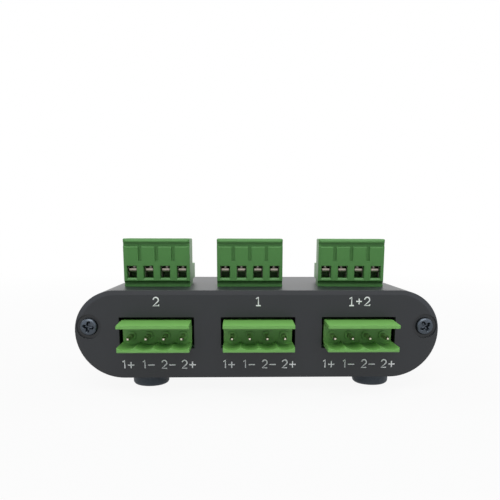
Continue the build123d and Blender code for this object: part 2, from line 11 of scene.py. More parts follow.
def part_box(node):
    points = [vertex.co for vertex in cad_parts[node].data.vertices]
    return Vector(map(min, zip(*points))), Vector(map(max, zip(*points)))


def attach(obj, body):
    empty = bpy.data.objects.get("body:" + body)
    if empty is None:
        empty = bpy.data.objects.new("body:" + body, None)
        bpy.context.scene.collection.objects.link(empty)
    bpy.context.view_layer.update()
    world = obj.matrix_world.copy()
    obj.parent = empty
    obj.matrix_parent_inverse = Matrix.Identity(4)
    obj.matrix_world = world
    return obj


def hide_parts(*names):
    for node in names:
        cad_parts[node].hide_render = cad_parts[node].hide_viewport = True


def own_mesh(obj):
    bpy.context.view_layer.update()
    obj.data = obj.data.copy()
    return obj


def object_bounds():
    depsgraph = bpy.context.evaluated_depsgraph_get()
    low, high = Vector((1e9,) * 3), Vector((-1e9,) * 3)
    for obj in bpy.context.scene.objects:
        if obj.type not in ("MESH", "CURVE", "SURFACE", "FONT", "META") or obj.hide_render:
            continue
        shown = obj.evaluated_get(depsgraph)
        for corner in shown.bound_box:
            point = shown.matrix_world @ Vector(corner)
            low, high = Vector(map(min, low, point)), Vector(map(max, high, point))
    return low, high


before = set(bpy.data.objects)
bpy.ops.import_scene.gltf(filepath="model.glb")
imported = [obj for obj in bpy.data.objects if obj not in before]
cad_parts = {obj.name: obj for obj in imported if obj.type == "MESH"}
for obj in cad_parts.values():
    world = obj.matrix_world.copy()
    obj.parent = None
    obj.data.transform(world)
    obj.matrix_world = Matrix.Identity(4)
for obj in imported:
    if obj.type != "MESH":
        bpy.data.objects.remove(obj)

bl_info = {
    "name": "Loudspeaker Selector Box",
    "version": (1, 0, 0),
    "blender": (4, 5, 0),
    "location": "View3D > Sidebar > Selector Box",
    "description": "Finishes, print, screws and stage for a two-way loudspeaker selector box",
    "category": "Object",
}

CAD_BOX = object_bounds()
MM = 0.001
ROWS = ("b", "a", "io")
CHANNELS = ("a", "b")
POLES = (1, 2, 3, 4)


def linear(code):
    """An sRGB hex colour as linear red, green and blue."""
    shares = [int(code[i : i + 2], 16) / 255 for i in (0, 2, 4)]
    return tuple(s / 12.92 if s <= 0.04045 else ((s + 0.055) / 1.055) ** 2.4 for s in shares)


# ---------------------------------------------------------------- settings


def colour(name, code, description):
    """A colour property with an sRGB hex default."""
    return FloatVectorProperty(name=name, description=description, default=linear(code),
                               subtype="COLOR", size=3, min=0, max=1)


def length(name, millimetres, description):
    """A length property, in metres, with a default in millimetres."""
    return FloatProperty(name=name, description=description, default=millimetres * MM,
                         unit="LENGTH", min=0, precision=5)


def degrees(name, angle, description):
    """An angle property with a default in degrees."""
    return FloatProperty(name=name, description=description, default=math.radians(angle),
                         subtype="ANGLE")


def number(name, value, description):
    """A property that is a plain number."""
    return FloatProperty(name=name, description=description, default=value)


class CaseSettings(bpy.types.PropertyGroup):
    black: colour("Anodised black", "1A1D21", "Dyed oxide layer of the shell and both panels")
    screw_black: colour("Screw black", "4A5057", "Black oxide on the panel screws")
    rubber: colour("Foot rubber", "3A434B", "Moulded rubber of the feet")
    # A real pit is under 0.1 mm wide: it is drawn wider so that it shows
    grain: length("Blast grain", 0.28, "Width of one pit of the blasted surface")
    die_line: length("Die lines", 0.9, "Spacing of the fine lines along the extruded shell")
    foot_rounding: length("Foot rounding", 1.1, "Radius round the lower edge of a foot")


class ScrewSettings(bpy.types.PropertyGroup):
    head_radius: length("Head radius", 2.58, "Radius of a pan head")
    rim_height: length("Rim height", 0.3, "Straight part of the head's rim")
    recess_reach: length("Recess reach", 1.72, "From the middle of the recess to an arm's tip")
    recess_half_width: length("Recess half width", 0.52, "Half the width of an arm of the recess")
    recess_depth: length("Recess depth", 1.1, "Depth of the cross recess")
    thread_pitch: length("Thread pitch", 1.0, "Pitch of the thread-forming thread")
    thread_root: length("Thread root", 0.95, "Radius of the shank between the threads")


class SpringSettings(bpy.types.PropertyGroup):
    wire_radius: length("Wire radius", 0.25, "Radius of the spring wire")
    free_turns: number("Free turns", 5.0, "Turns between the closed ends")
    closed_turns: number("Closed turns", 1.0, "Turns laid together at each end")
    pressed_share: number("Pressed share", 0.74, "Share of the length that is left when pressed")


class PrintSettings(bpy.types.PropertyGroup):
    ink: colour("Ink", "E9EAE9", "Screen ink of every line, number and sign")
    ink_height: length("Ink height", 0.04, "How far the ink stands on the panel")
    line_width: length("Line width", 0.32, "Width of the printed rings and lines")
    ring_radius: length("Button ring", 5.3, "Outer radius of the ring round a button")
    badge_radius: length("Badge ring", 3.25, "Outer radius of the ring round a button's number")
    badge_offset: length("Badge place", 19.4, "From the middle of the panel to a badge")
    badge_rise: length("Badge rise", 3.15, "From the middle of the panel up to a badge")
    stroke: length("Stroke", 0.37, "Width of a stroke of the printed numbers and letters")
    number_height: length("Number height", 2.7, "Height of the numbers in the badges")
    legend: StringProperty(name="Legend", description="Line under the buttons",
                           default="IN = ON    OUT = OFF")
    legend_height: length("Legend height", 2.15, "Height of the legend's capitals")
    legend_drop: length("Legend drop", 10.35, "From the panel's middle down to the legend's foot")
    port_height: length("Port label height", 2.45, "Height of the labels over the sockets")
    port_rise: length("Port label rise", 8.55, "From the panel's middle up to a port label's foot")
    pole_height: length("Pole label height", 2.4, "Height of the labels under the sockets")
    pole_drop: length("Pole label drop", 10.08, "From the panel's middle down to the labels' foot")
    pole_pitch: length("Pole label pitch", 5.95, "Spacing of the labels under a socket")
    pole_shift: length("Pole label shift", 0.3, "From a socket's middle to its labels' middle")


class PlasticSettings(bpy.types.PropertyGroup):
    ivory: colour("Button ivory", "EDE5D3", "Moulded ABS of the button caps")
    header_green: colour("Header green", "6DA853", "Moulded polyamide of the socket housings")
    plug_green: colour("Plug green", "4B8041", "Moulded polyamide of the terminal plugs")
    switch_black: colour("Switch black", "1D1D1F", "Moulded PBT of the switch bodies")
    slider_white: colour("Slider white", "E6E6E1", "Moulded acetal of the switch plungers")
    edge: length("Moulded edge", 0.14, "Radius of the fine rounding along moulded edges")


class MetalSettings(bpy.types.PropertyGroup):
    tin: colour("Tin", "CFC7B8", "Tin plate on the pins of the sockets")
    dull_tin: colour("Dull tin", "ABA397", "Matt tin plate on the plug contacts")
    zinc: colour("Zinc", "A39F94", "Zinc plate on the clamp cages and screws")
    silver: colour("Silver", "D9D5CC", "Silver plate on the switch contacts")
    steel: colour("Spring steel", "A6A6A4", "Drawn wire of the springs and latch pins")
    mask: colour("Solder mask", "14482A", "Lacquer on the circuit board")


class StageSettings(bpy.types.PropertyGroup):
    floor: colour("Floor", "BFBFBF", "Pale floor under the box")
    sky: colour("Surround", "FFFFFF", "White surround that the box and the camera see")
    camera_distance: length("Camera distance", 162.3, "From the middle of the rear panel")
    camera_elevation: degrees("Camera elevation", 10.3, "Above the horizon")
    camera_yaw: degrees("Camera yaw", -1.69, "To the side of the box's middle plane")
    camera_roll: degrees("Camera roll", 0.16, "About the line of sight")


# ---------------------------------------------------------------- nodes and materials


def add(tree, kind, inputs=None, **settings):
    """Add a node. settings are its own fields; inputs maps its sockets to values or to sockets."""
    node = tree.nodes.new(kind)
    for name, value in settings.items():
        setattr(node, name, value)
    for name, value in (inputs or {}).items():
        if isinstance(value, bpy.types.NodeSocket):
            tree.links.new(value, node.inputs[name])
        else:
            node.inputs[name].default_value = value
    return node


def rgba(rgb, gain=1.0):
    """A colour with alpha, made lighter or darker by gain."""
    return (*[min(1.0, c * gain) for c in rgb], 1.0)


GRAIN_DEPTH = 0.004 * MM
GRAINS_IN_PATCH = 0.06  # patches of lighter and darker colour are about 17 specks wide
GLOSS_WANDER = 0.12  # how far the roughness wanders to either side
BEVEL_SAMPLES = 6


def finish_material(name, rgb, roughness, metallic=0.0, ior=1.5, grain=0.3 * MM,
                    stretch=(1, 1, 1), mottle=0.08, edge=0.1 * MM, **shader):
    """A material whose colour, roughness and relief vary over the surface at the grain's scale.

    grain is the width of one speck: the real ones are a tenth of a millimetre or less, and they
    are drawn at 0.15 to 0.5 mm so that they show. stretch draws the specks out along an axis;
    mottle is how far the colour wanders; edge is the radius that corners catch light on.
    shader gives further sockets of the Principled shader their constant values.
    """
    material = bpy.data.materials.new(name)
    material.use_nodes = True
    tree = material.node_tree
    tree.nodes.clear()
    place = add(tree, "ShaderNodeTexCoord").outputs["Object"]
    drawn = add(tree, "ShaderNodeMapping", {"Vector": place, "Scale": stretch}).outputs["Vector"]
    fine = add(tree, "ShaderNodeTexNoise", {"Vector": drawn, "Scale": 1 / grain, "Detail": 3.0})
    broad = add(tree, "ShaderNodeTexNoise", {"Vector": place, "Scale": GRAINS_IN_PATCH / grain,
                                              "Detail": 4.0})
    tone = add(tree, "ShaderNodeMix", {
        "Factor": broad.outputs["Fac"],
        6: rgba(rgb, 1 - mottle),
        7: rgba(rgb, 1 + mottle),
    }, data_type="RGBA")
    wander = add(tree, "ShaderNodeMapRange", {
        "Value": fine.outputs["Fac"],
        "To Min": roughness * (1 - GLOSS_WANDER),
        "To Max": roughness * (1 + GLOSS_WANDER),
    })
    corner = add(tree, "ShaderNodeBevel", {"Radius": edge}, samples=BEVEL_SAMPLES)
    relief = add(tree, "ShaderNodeBump", {
        "Height": fine.outputs["Fac"],
        "Distance": GRAIN_DEPTH,
        "Strength": 1.0,
        "Normal": corner.outputs["Normal"],
    })
    skin = add(tree, "ShaderNodeBsdfPrincipled", {
        "Base Color": tone.outputs[2],
        "Metallic": metallic,
        "Roughness": wander.outputs["Result"],
        "IOR": ior,
        "Normal": relief.outputs["Normal"],
        **shader,
    })
    add(tree, "ShaderNodeOutputMaterial", {"Surface": skin.outputs["BSDF"]})
    return material


def anodised_aluminium(case, name, ior, stretch=(1, 1, 1)):
    """Aluminium, bead blasted and anodised: a matte dyed oxide that turns pale at low angles."""
    return finish_material(name, case.black, roughness=0.38, ior=ior, grain=case.grain,
                           stretch=stretch, mottle=0.1, edge=0.12 * MM)


def paint_nodes(material, *nodes):
    """Give CAD nodes a material."""
    for name in nodes:
        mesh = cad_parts[name].data
        mesh.materials.clear()
        mesh.materials.append(material)


def numbered(name, *marks):
    """A node name for each mark."""
    return [f"{name}_{mark}" for mark in marks]


# ---------------------------------------------------------------- pieces

SHARP_ANGLE = math.radians(35)
LINE_ROUNDNESS = 2
SAME_POINT = 0.01 * MM


def new_piece(name, mesh, material):
    """Put a mesh or curve into the scene as a piece of the case, with its finish's slot."""
    piece = bpy.data.objects.new(name, mesh)
    bpy.context.scene.collection.objects.link(piece)
    mesh.materials.append(material)
    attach(piece, "case")
    return piece


def ring(radius, z, count=80):
    """Points of a level ring. radius is a number, or a function of the angle."""
    turns = [2 * math.pi * i / count for i in range(count)]
    reach = [radius(t) if callable(radius) else radius for t in turns]
    return [(r * math.cos(t), r * math.sin(t), z) for r, t in zip(reach, turns)]


def add_skin(form, rings):
    """Join rings of points one to the next with smooth faces, and cap both ends."""
    rows = [[form.verts.new(point) for point in points] for points in rings]
    for low, high in zip(rows, rows[1:]):
        for i in range(len(low)):
            form.faces.new((low[i - 1], low[i], high[i], high[i - 1])).smooth = True
    form.faces.new(list(reversed(rows[0])))
    form.faces.new(rows[-1])


def skinned_mesh(name, form):
    """The mesh of a form, with its faces turned outwards."""
    bmesh.ops.recalc_face_normals(form, faces=form.faces)
    mesh = bpy.data.meshes.new(name)
    form.to_mesh(mesh)
    form.free()
    return mesh


def ringed_mesh(name, *stacks):
    """A smooth mesh of closed skins, one for each stack of rings."""
    form = bmesh.new()
    for rings in stacks:
        add_skin(form, rings)
    for face in form.faces:
        face.smooth = True
    mesh = skinned_mesh(name, form)
    mesh.set_sharp_from_angle(angle=SHARP_ANGLE)
    return mesh


def panel_plane(node, outward):
    """The outer face of a panel: origin at its middle, +Z out of it and +Y up."""
    low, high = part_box(node)
    face = high.y if outward > 0 else low.y
    across = Vector((-outward, 0, 0))
    out = Vector((0, outward, 0))
    middle = Vector((0, face, (low.z + high.z) / 2))
    axes = Matrix((across, Vector((0, 0, 1)), out)).transposed()
    return Matrix.Translation(middle) @ axes.to_4x4()


def screen_ink(settings):
    """Epoxy screen ink: a satin film, a little uneven in cover."""
    return bpy.data.materials.get("screen_ink") or finish_material(
        "screen_ink", settings.ink, roughness=0.5, grain=0.25 * MM, mottle=0.06, edge=0.02 * MM)


def print_lines(name, strokes, width, plane, settings):
    """Print a set of lines on a panel. A line whose last point is its first is closed."""
    data = bpy.data.curves.new(name, "CURVE")
    data.dimensions = "3D"
    data.bevel_depth = width / 2
    data.bevel_resolution = LINE_ROUNDNESS
    data.use_fill_caps = True
    for points in strokes:
        closed = math.dist(points[0], points[-1]) < SAME_POINT
        spline = data.splines.new("POLY")
        spline.points.add(len(points) - 1 - closed)
        for knot, (x, y) in zip(spline.points, points):
            knot.co = (x, y, 0, 1)
        spline.use_cyclic_u = closed
    piece = new_piece(name, data, screen_ink(settings))
    # The round lines are pressed flat to the height of the ink
    piece.matrix_world = plane @ Matrix.Diagonal((1, 1, 2 * settings.ink_height / width, 1))


def bow(x, y, across, up, start, end, steps=20):
    """Points along an elliptical arc between two angles in degrees."""
    turns = [math.radians(start + (end - start) * i / steps) for i in range(steps + 1)]
    return [(x + across * math.cos(t), y + up * math.sin(t)) for t in turns]


# Signs as single strokes. Each has its width and its lines, in shares of a capital's height.
PLAIN_SIGNS = {
    "1": (0.42, [[(0.06, 0.8), (0.3, 1), (0.3, 0)]]),
    "2": (0.62, [bow(0.31, 0.69, 0.29, 0.31, 170, -38) + [(0.0, 0), (0.62, 0)]]),
    "+": (0.8, [[(0, 0.42), (0.8, 0.42)], [(0.4, 0.02), (0.4, 0.82)]]),
    "−": (0.8, [[(0, 0.42), (0.8, 0.42)]]),
}
SERIF_SIGNS = {
    "1": (0.6, [[(0.06, 0.82), (0.32, 1), (0.32, 0)], [(0.04, 0), (0.6, 0)]]),
    "2": (0.7, [
        bow(0.35, 0.69, 0.3, 0.31, 175, -38) + [(0.03, 0), (0.68, 0), (0.68, 0.16)],
    ]),
    "+": (0.7, [[(0, 0.5), (0.7, 0.5)], [(0.35, 0.15), (0.35, 0.85)]]),
    "=": (0.7, [[(0, 0.36), (0.7, 0.36)], [(0, 0.64), (0.7, 0.64)]]),
    "I": (0.5, [[(0.25, 0), (0.25, 1)], [(0, 0), (0.5, 0)], [(0, 1), (0.5, 1)]]),
    "N": (0.94, [
        [(0.16, 0), (0.16, 1), (0.78, 0), (0.78, 1)],
        [(0, 0), (0.34, 0)],
        [(0, 1), (0.16, 1)],
        [(0.6, 1), (0.94, 1)],
    ]),
    "O": (0.84, [bow(0.42, 0.5, 0.42, 0.5, 0, 360, 32)]),
    "U": (0.94, [
        [(0.16, 1)] + bow(0.47, 0.32, 0.31, 0.32, 180, 360) + [(0.78, 1)],
        [(0, 1), (0.32, 1)],
        [(0.62, 1), (0.94, 1)],
    ]),
    "T": (0.84, [
        [(0, 0.8), (0, 1), (0.84, 1), (0.84, 0.8)],
        [(0.42, 1), (0.42, 0)],
        [(0.26, 0), (0.58, 0)],
    ]),
    "F": (0.78, [
        [(0.16, 0), (0.16, 1)],
        [(0, 1), (0.76, 1), (0.76, 0.8)],
        [(0.16, 0.52), (0.52, 0.52)],
        [(0, 0), (0.36, 0)],
    ]),
    " ": (0.5, []),
}
SIGN_GAP = 0.26


def print_words(name, words, signs, height, x, foot, plane, settings):
    """Print a word centred on x, with its foot at that height above the panel's middle."""
    width = sum(signs[sign][0] for sign in words) + SIGN_GAP * (len(words) - 1)
    start = x - width * height / 2
    strokes = []
    for sign in words:
        advance, lines = signs[sign]
        for line in lines:
            strokes.append([(start + u * height, foot + v * height) for u, v in line])
        start += (advance + SIGN_GAP) * height
    print_lines(name, strokes, settings.stroke, plane, settings)


class DressStep(bpy.types.Operator):
    """Common ground of the steps: each one makes and finishes one group of pieces"""

    bl_options = {"REGISTER", "UNDO"}


class SELECTOR_OT_case(DressStep):
    """Give the shell and both panels their black anodised finish"""

    bl_idname = "selector.case"
    bl_label = "Anodised Case"

    def execute(self, context):
        case = context.scene.selector_case
        drawn_out = (1, case.grain / case.die_line, 1)
        # The drawn skin of the shell turns a little paler at low angles than the milled panels
        extruded = anodised_aluminium(case, "extruded_anodised_aluminium", 1.57, drawn_out)
        paint_nodes(extruded, "case_shell")
        milled = anodised_aluminium(case, "milled_anodised_aluminium", 1.5)
        paint_nodes(milled, "front_panel", "rear_panel")
        return {"FINISHED"}


# Pan head: its height, the rings of its seat and the broken edge round them, how squarely its
# dome turns down to the rim, and the dome's rings from the rim in, as shares of the head's radius
HEAD_HEIGHT = 1.4 * MM
SEAT_SHARES = (0.35, 0.98)
SEAT_BREAK = 0.05 * MM
DOME_POWER = 5
DOME_SHARES = (1.0, 0.985, 0.96, 0.92, 0.86, 0.78, 0.7)
# Cross recess, from its mouth down: each ring's share of the outline and of the depth
RECESS_RINGS = ((1.06, 0.0), (0.97, 0.08), (0.6, 1.0), (0.2, 1.15))
# Shank: radius of the thread's crest, how the point tapers up from its tip, and the tip's radius
THREAD_CREST = 1.2 * MM
POINT_LENGTH = 1.2 * MM
POINT_SHARE = 0.35
TIP_RADIUS = 0.25 * MM
SHANK_SIDES = 24
RINGS_PER_PITCH = 8
# Each screw was stopped at its own angle in degrees, the left and the right one of each panel
SCREW_ANGLES = {"front_panel_screws": (-1, (12, 28)), "rear_panel_screws": (1, (-10, 34))}


class SELECTOR_OT_screws(DressStep):
    """Make the panel screws: thread-forming pan heads with a cross recess, in black oxide"""

    bl_idname = "selector.screws"
    bl_label = "Panel Screws"

    def execute(self, context):
        screw = context.scene.selector_screw
        # Black oxide on steel: a dark, slightly oily metal with soft highlights
        oxide = finish_material("black_oxide_steel", context.scene.selector_case.screw_black,
                                roughness=0.34, metallic=1.0, grain=0.2 * MM)
        for node, (outward, angles) in SCREW_ANGLES.items():
            panel = panel_plane(node, outward)
            low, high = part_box(node)
            reach = high.y - low.y
            for side, end, angle in zip((-1, 1), ("left", "right"), angles):
                middle = side * ((high.x - low.x) - (high.z - low.z)) / 2
                name = f"{node[:-1]}_{end}"
                mesh = self.screw_mesh(name, screw, reach)
                piece = new_piece(name, mesh, oxide)
                turn = Matrix.Rotation(math.radians(angle), 4, "Z")
                piece.matrix_world = panel @ Matrix.Translation((middle, 0, 0)) @ turn
                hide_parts(node)
        return {"FINISHED"}

    def screw_mesh(self, name, screw, reach):
        """A screw whose head's top is at the origin, +Z outwards."""
        seat = -HEAD_HEIGHT
        crown = HEAD_HEIGHT - screw.rim_height

        def dome(radius):
            """The height of the head's top at a radius."""
            share = 1 - (radius / screw.head_radius) ** DOME_POWER
            return seat + screw.rim_height + crown * math.sqrt(max(0.0, share))

        def recess(scale):
            """The cross recess's outline at a scale: a function from the angle to the radius."""
            half = screw.recess_half_width * scale
            arm = (screw.recess_reach - screw.recess_half_width) * scale

            def radius(turn):
                fold = abs((turn + math.pi / 4) % (math.pi / 2) - math.pi / 4)
                if fold < math.atan2(half, arm):
                    return arm * math.cos(fold) + math.sqrt(half**2 - (arm * math.sin(fold)) ** 2)
                return half / math.sin(fold)

            return radius

        rings = [ring(screw.head_radius * share, seat) for share in SEAT_SHARES]
        rings.append(ring(screw.head_radius, seat + SEAT_BREAK))
        for share in DOME_SHARES:
            rings.append(ring(screw.head_radius * share, dome(screw.head_radius * share)))
        for scale, share in RECESS_RINGS:
            depth = share * screw.recess_depth
            outline = ring(recess(scale), 0)
            rings.append([(x, y, dome(math.hypot(x, y)) - depth) for x, y, _ in outline])
        return ringed_mesh(name, rings, self.shank_rings(screw, seat, reach - HEAD_HEIGHT))

    def shank_rings(self, screw, seat, shank):
        """The threaded shank, from its point up to the head: a ridge that winds round the core."""
        rings = [ring(TIP_RADIUS, seat - shank, SHANK_SIDES)]
        steps = round(shank / screw.thread_pitch * RINGS_PER_PITCH)
        for i in range(1, steps + 1):
            depth = shank * (1 - i / steps)
            taper = min(1.0, POINT_SHARE + (shank - depth) / POINT_LENGTH)

            def radius(turn, depth=depth, taper=taper):
                phase = (depth / screw.thread_pitch + turn / (2 * math.pi)) % 1
                # The ridge takes the middle half of the pitch
                ridge = max(0.0, 1 - abs(phase - 0.5) * 4)
                return (screw.thread_root + (THREAD_CREST - screw.thread_root) * ridge) * taper

            rings.append(ring(radius, seat - depth, SHANK_SIDES))
        return rings


class SELECTOR_OT_feet(DressStep):
    """Make the four rubber feet, with their lower edges moulded round"""

    bl_idname = "selector.feet"
    bl_label = "Rubber Feet"

    def execute(self, context):
        case = context.scene.selector_case
        # Moulded nitrile rubber: dull, with the faint grain of its mould
        rubber = finish_material("moulded_rubber", case.rubber, roughness=0.62, ior=1.52,
                                 grain=0.35 * MM, edge=0.3 * MM)
        top_break = 0.15 * MM
        sole_margin = 0.2 * MM
        for place in ("front_left", "front_right", "rear_left", "rear_right"):
            low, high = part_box(f"foot_{place}")
            radius, height, rounding = (high.x - low.x) / 2, high.z - low.z, case.foot_rounding
            # From the middle of the sole, round its edge and up to the broken top edge
            rings = [ring(radius * 0.3, 0), ring(radius - rounding - sole_margin, 0)]
            for x, z in bow(radius - rounding, rounding, rounding, rounding, -90, 0, 8):
                rings.append(ring(x, z))
            rings += [ring(radius, height - top_break), ring(radius - top_break, height)]
            name = f"rubber_foot_{place}"
            piece = new_piece(name, ringed_mesh(name, rings), rubber)
            middle = (low + high) / 2
            piece.matrix_world = Matrix.Translation((middle.x, middle.y, low.z))
            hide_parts(f"foot_{place}")
        return {"FINISHED"}


class SELECTOR_OT_front_print(DressStep):
    """Print the rings, badges, numbers and legend on the front panel"""

    bl_idname = "selector.front_print"
    bl_label = "Front Print"

    def execute(self, context):
        settings = context.scene.selector_print
        plane = panel_plane("front_panel", -1)
        middle = plane.translation.z
        half = settings.line_width / 2
        outer, badge = settings.ring_radius - half, settings.badge_radius - half
        around = (0, 360, 72)
        for mark, channel in enumerate(CHANNELS, start=1):
            low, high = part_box(f"button_cap_{channel}")
            x, rise = (low.x + high.x) / 2, (low.z + high.z) / 2 - middle
            side = math.copysign(1, x)
            badge_x = side * settings.badge_offset
            strokes = [
                bow(x, rise, outer, outer, *around),
                bow(badge_x, settings.badge_rise, badge, badge, *around),
            ]
            for end in (-1, 1):
                level = settings.badge_rise + end * badge
                reach = math.sqrt(outer**2 - (level - rise) ** 2)
                strokes.append([(badge_x, level), (x + side * reach, level)])
            print_lines(f"button_ring_{channel}", strokes, settings.line_width, plane, settings)
            foot = settings.badge_rise - settings.number_height / 2
            print_words(f"button_number_{mark}", str(mark), SERIF_SIGNS, settings.number_height,
                        badge_x, foot, plane, settings)
        print_words("legend", settings.legend, SERIF_SIGNS, settings.legend_height, 0,
                    -settings.legend_drop, plane, settings)
        return {"FINISHED"}


class SELECTOR_OT_rear_print(DressStep):
    """Print the port and pole labels on the rear panel"""

    bl_idname = "selector.rear_print"
    bl_label = "Rear Print"

    def execute(self, context):
        settings = context.scene.selector_print
        plane = panel_plane("rear_panel", 1)
        for row, words in zip(ROWS, ("2", "1", "1+2")):
            low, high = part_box(f"header_housing_{row}")
            x = -(low.x + high.x) / 2
            print_words(f"port_label_{row}", words, SERIF_SIGNS, settings.port_height, x,
                        settings.port_rise, plane, settings)
            for place, words in enumerate(("1+", "1−", "2−", "2+")):
                pole_x = x + settings.pole_shift + (place - 1.5) * settings.pole_pitch
                print_words(f"pole_label_{row}_{place + 1}", words, PLAIN_SIGNS,
                            settings.pole_height, pole_x, -settings.pole_drop, plane, settings)
        return {"FINISHED"}


class SELECTOR_OT_buttons(DressStep):
    """Give the button caps their ivory plastic"""

    bl_idname = "selector.buttons"
    bl_label = "Button Caps"

    def execute(self, context):
        plastic = context.scene.selector_plastic
        # ABS, moulded in a lightly eroded tool: satin, with a little light passing through
        depth_of_light = {"Subsurface Weight": 0.15, "Subsurface Scale": 0.8 * MM}
        ivory = finish_material("moulded_abs", plastic.ivory, roughness=0.38, ior=1.53, mottle=0.03,
                                edge=0.5 * MM, **depth_of_light)
        paint_nodes(ivory, *numbered("button_cap", *CHANNELS))
        return {"FINISHED"}


def spring_wire(metal):
    """Drawn spring wire: grey, and smooth from the die."""
    return bpy.data.materials.get("drawn_spring_wire") or finish_material(
        "drawn_spring_wire", metal.steel, roughness=0.28, metallic=1.0)


STEPS_PER_TURN = 28
WIRE_SIDES = 10


class SELECTOR_OT_springs(DressStep):
    """Wind the return springs of the push switches"""

    bl_idname = "selector.springs"
    bl_label = "Return Springs"

    def execute(self, context):
        spring = context.scene.selector_spring
        wire = spring_wire(context.scene.selector_metal)
        for channel in CHANNELS:
            node = f"return_spring_{channel}"
            low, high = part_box(node)
            coil = (high.x - low.x) / 2 - spring.wire_radius
            name = f"coil_spring_{channel}"
            mesh = self.wound_mesh(name, spring, coil, low.y, high.y)
            piece = new_piece(name, mesh, wire)
            axis = Vector(((low.x + high.x) / 2, 0, (low.z + high.z) / 2))
            piece.matrix_world = Matrix.Translation(axis)
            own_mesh(piece)
            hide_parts(node)
        return {"FINISHED"}

    def wound_mesh(self, name, spring, coil, near, far):
        """Round wire wound about the Y axis, with closed turns at both ends."""
        wire = spring.wire_radius
        start, end = near + wire, far - wire
        closed = spring.closed_turns
        turns = spring.free_turns + 2 * closed
        # A closed turn climbs by one wire, and the free turns share the length that is left
        climb = 2 * wire * closed
        free = (end - start - 2 * climb) / spring.free_turns
        sections = []
        for i in range(round(turns * STEPS_PER_TURN) + 1):
            turn = i / STEPS_PER_TURN
            if turn < closed:
                y = start + 2 * wire * turn
            elif turn < turns - closed:
                y = start + climb + free * (turn - closed)
            else:
                y = end - 2 * wire * (turns - turn)
            angle = 2 * math.pi * turn
            out = Vector((math.cos(angle), 0, math.sin(angle)))
            along = Vector((0, y, 0))
            sections.append([
                along + out * (coil + side) + Vector((0, rise, 0))
                for side, rise, _ in ring(wire, 0, WIRE_SIDES)
            ])
        form = bmesh.new()
        add_skin(form, sections)
        return skinned_mesh(name, form)


class SELECTOR_OT_switches(DressStep):
    """Finish the working parts of the push switches and the circuit board"""

    bl_idname = "selector.switches"
    bl_label = "Switches and Board"

    def execute(self, context):
        plastic, metal = context.scene.selector_plastic, context.scene.selector_metal
        # PBT with glass fibre: dark and slightly mottled
        pbt = finish_material("moulded_pbt", plastic.switch_black, roughness=0.5, edge=plastic.edge)
        # Acetal: waxy white with a soft shine
        acetal = finish_material("moulded_acetal", plastic.slider_white, roughness=0.35,
                                 edge=plastic.edge)
        wire = spring_wire(metal)
        # Silver plate over copper: the palest and shiniest metal of the switch
        silver = finish_material("silver_plate", metal.silver, roughness=0.2, metallic=1.0)
        for name, material in (("switch_housing", pbt), ("switch_plunger", acetal),
                               ("return_spring", wire), ("moving_contacts", silver),
                               ("latch_pin", wire), ("switch_terminals", silver)):
            paint_nodes(material, *numbered(name, *CHANNELS))
        # Glass-fibre laminate under green lacquer: glossy, with the weave just showing
        board = finish_material("lacquered_laminate", metal.mask, roughness=0.25, grain=0.5 * MM,
                                mottle=0.15)
        paint_nodes(board, "circuit_board")
        return {"FINISHED"}


def polyamide(plastic, name, rgb, gloss):
    """Moulded PA66: satin, with rounded edges that catch the light. gloss is its specular level."""
    return finish_material(name, rgb, roughness=0.42, mottle=0.05, edge=plastic.edge,
                           **{"Specular IOR Level": gloss})


class SELECTOR_OT_headers(DressStep):
    """Give the socket housings their green plastic and the pins their tin"""

    bl_idname = "selector.headers"
    bl_label = "Sockets"

    def execute(self, context):
        plastic, metal = context.scene.selector_plastic, context.scene.selector_metal
        green = polyamide(plastic, "header_polyamide", plastic.header_green, 0.5)
        paint_nodes(green, *numbered("header_housing", *ROWS))
        # Tin over brass: pale and bright at the tapered tips
        tin = finish_material("tin_plate", metal.tin, roughness=0.22, metallic=1.0,
                              grain=0.15 * MM)
        paint_nodes(tin, *numbered("header_pins", *ROWS))
        return {"FINISHED"}


class SELECTOR_OT_plugs(DressStep):
    """Give the terminal plugs their green plastic and the clamps their zinc"""

    bl_idname = "selector.plugs"
    bl_label = "Terminal Plugs"

    def execute(self, context):
        plastic, metal = context.scene.selector_plastic, context.scene.selector_metal
        green = polyamide(plastic, "plug_polyamide", plastic.plug_green, 0.3)
        paint_nodes(green, *numbered("plug_housing", *ROWS))
        # Matt tin over phosphor bronze: warm grey, without a clear reflection
        dull_tin = finish_material("matt_tin_plate", metal.dull_tin, roughness=0.36, metallic=1.0,
                                   grain=0.15 * MM)
        paint_nodes(dull_tin, *numbered("plug_contacts", *ROWS))
        # Zinc-plated steel: warm grey, finely crystalline
        zinc = finish_material("zinc_plate", metal.zinc, roughness=0.3, metallic=1.0,
                               grain=0.2 * MM, mottle=0.15)
        for row in ROWS:
            for part in ("clamp_cage", "clamp_screw"):
                paint_nodes(zinc, *numbered(f"{part}_{row}", *POLES))
        return {"FINISHED"}


# ---------------------------------------------------------------- stage


def background_rays(tree):
    """A factor that is 1 for the rays that see the surround: camera, glossy and see-through."""
    path = add(tree, "ShaderNodeLightPath").outputs
    factor = path["Is Camera Ray"]
    for ray in ("Is Glossy Ray", "Is Transmission Ray"):
        either = add(tree, "ShaderNodeMath", {0: factor, 1: path[ray]}, operation="MAXIMUM")
        factor = either.outputs[0]
    return factor


def soft_lamp(name, place, target, size, power, code):
    """A square area lamp of an sRGB hex colour, aimed at a point."""
    lamp = bpy.data.lights.new(name, "AREA")
    lamp.shape = "SQUARE"
    lamp.size = size
    lamp.energy = power
    lamp.color = linear(code)
    holder = bpy.data.objects.new(name, lamp)
    holder.location = place
    holder.rotation_euler = (Vector(target) - Vector(place)).to_track_quat("-Z", "Y").to_euler()
    bpy.context.scene.collection.objects.link(holder)


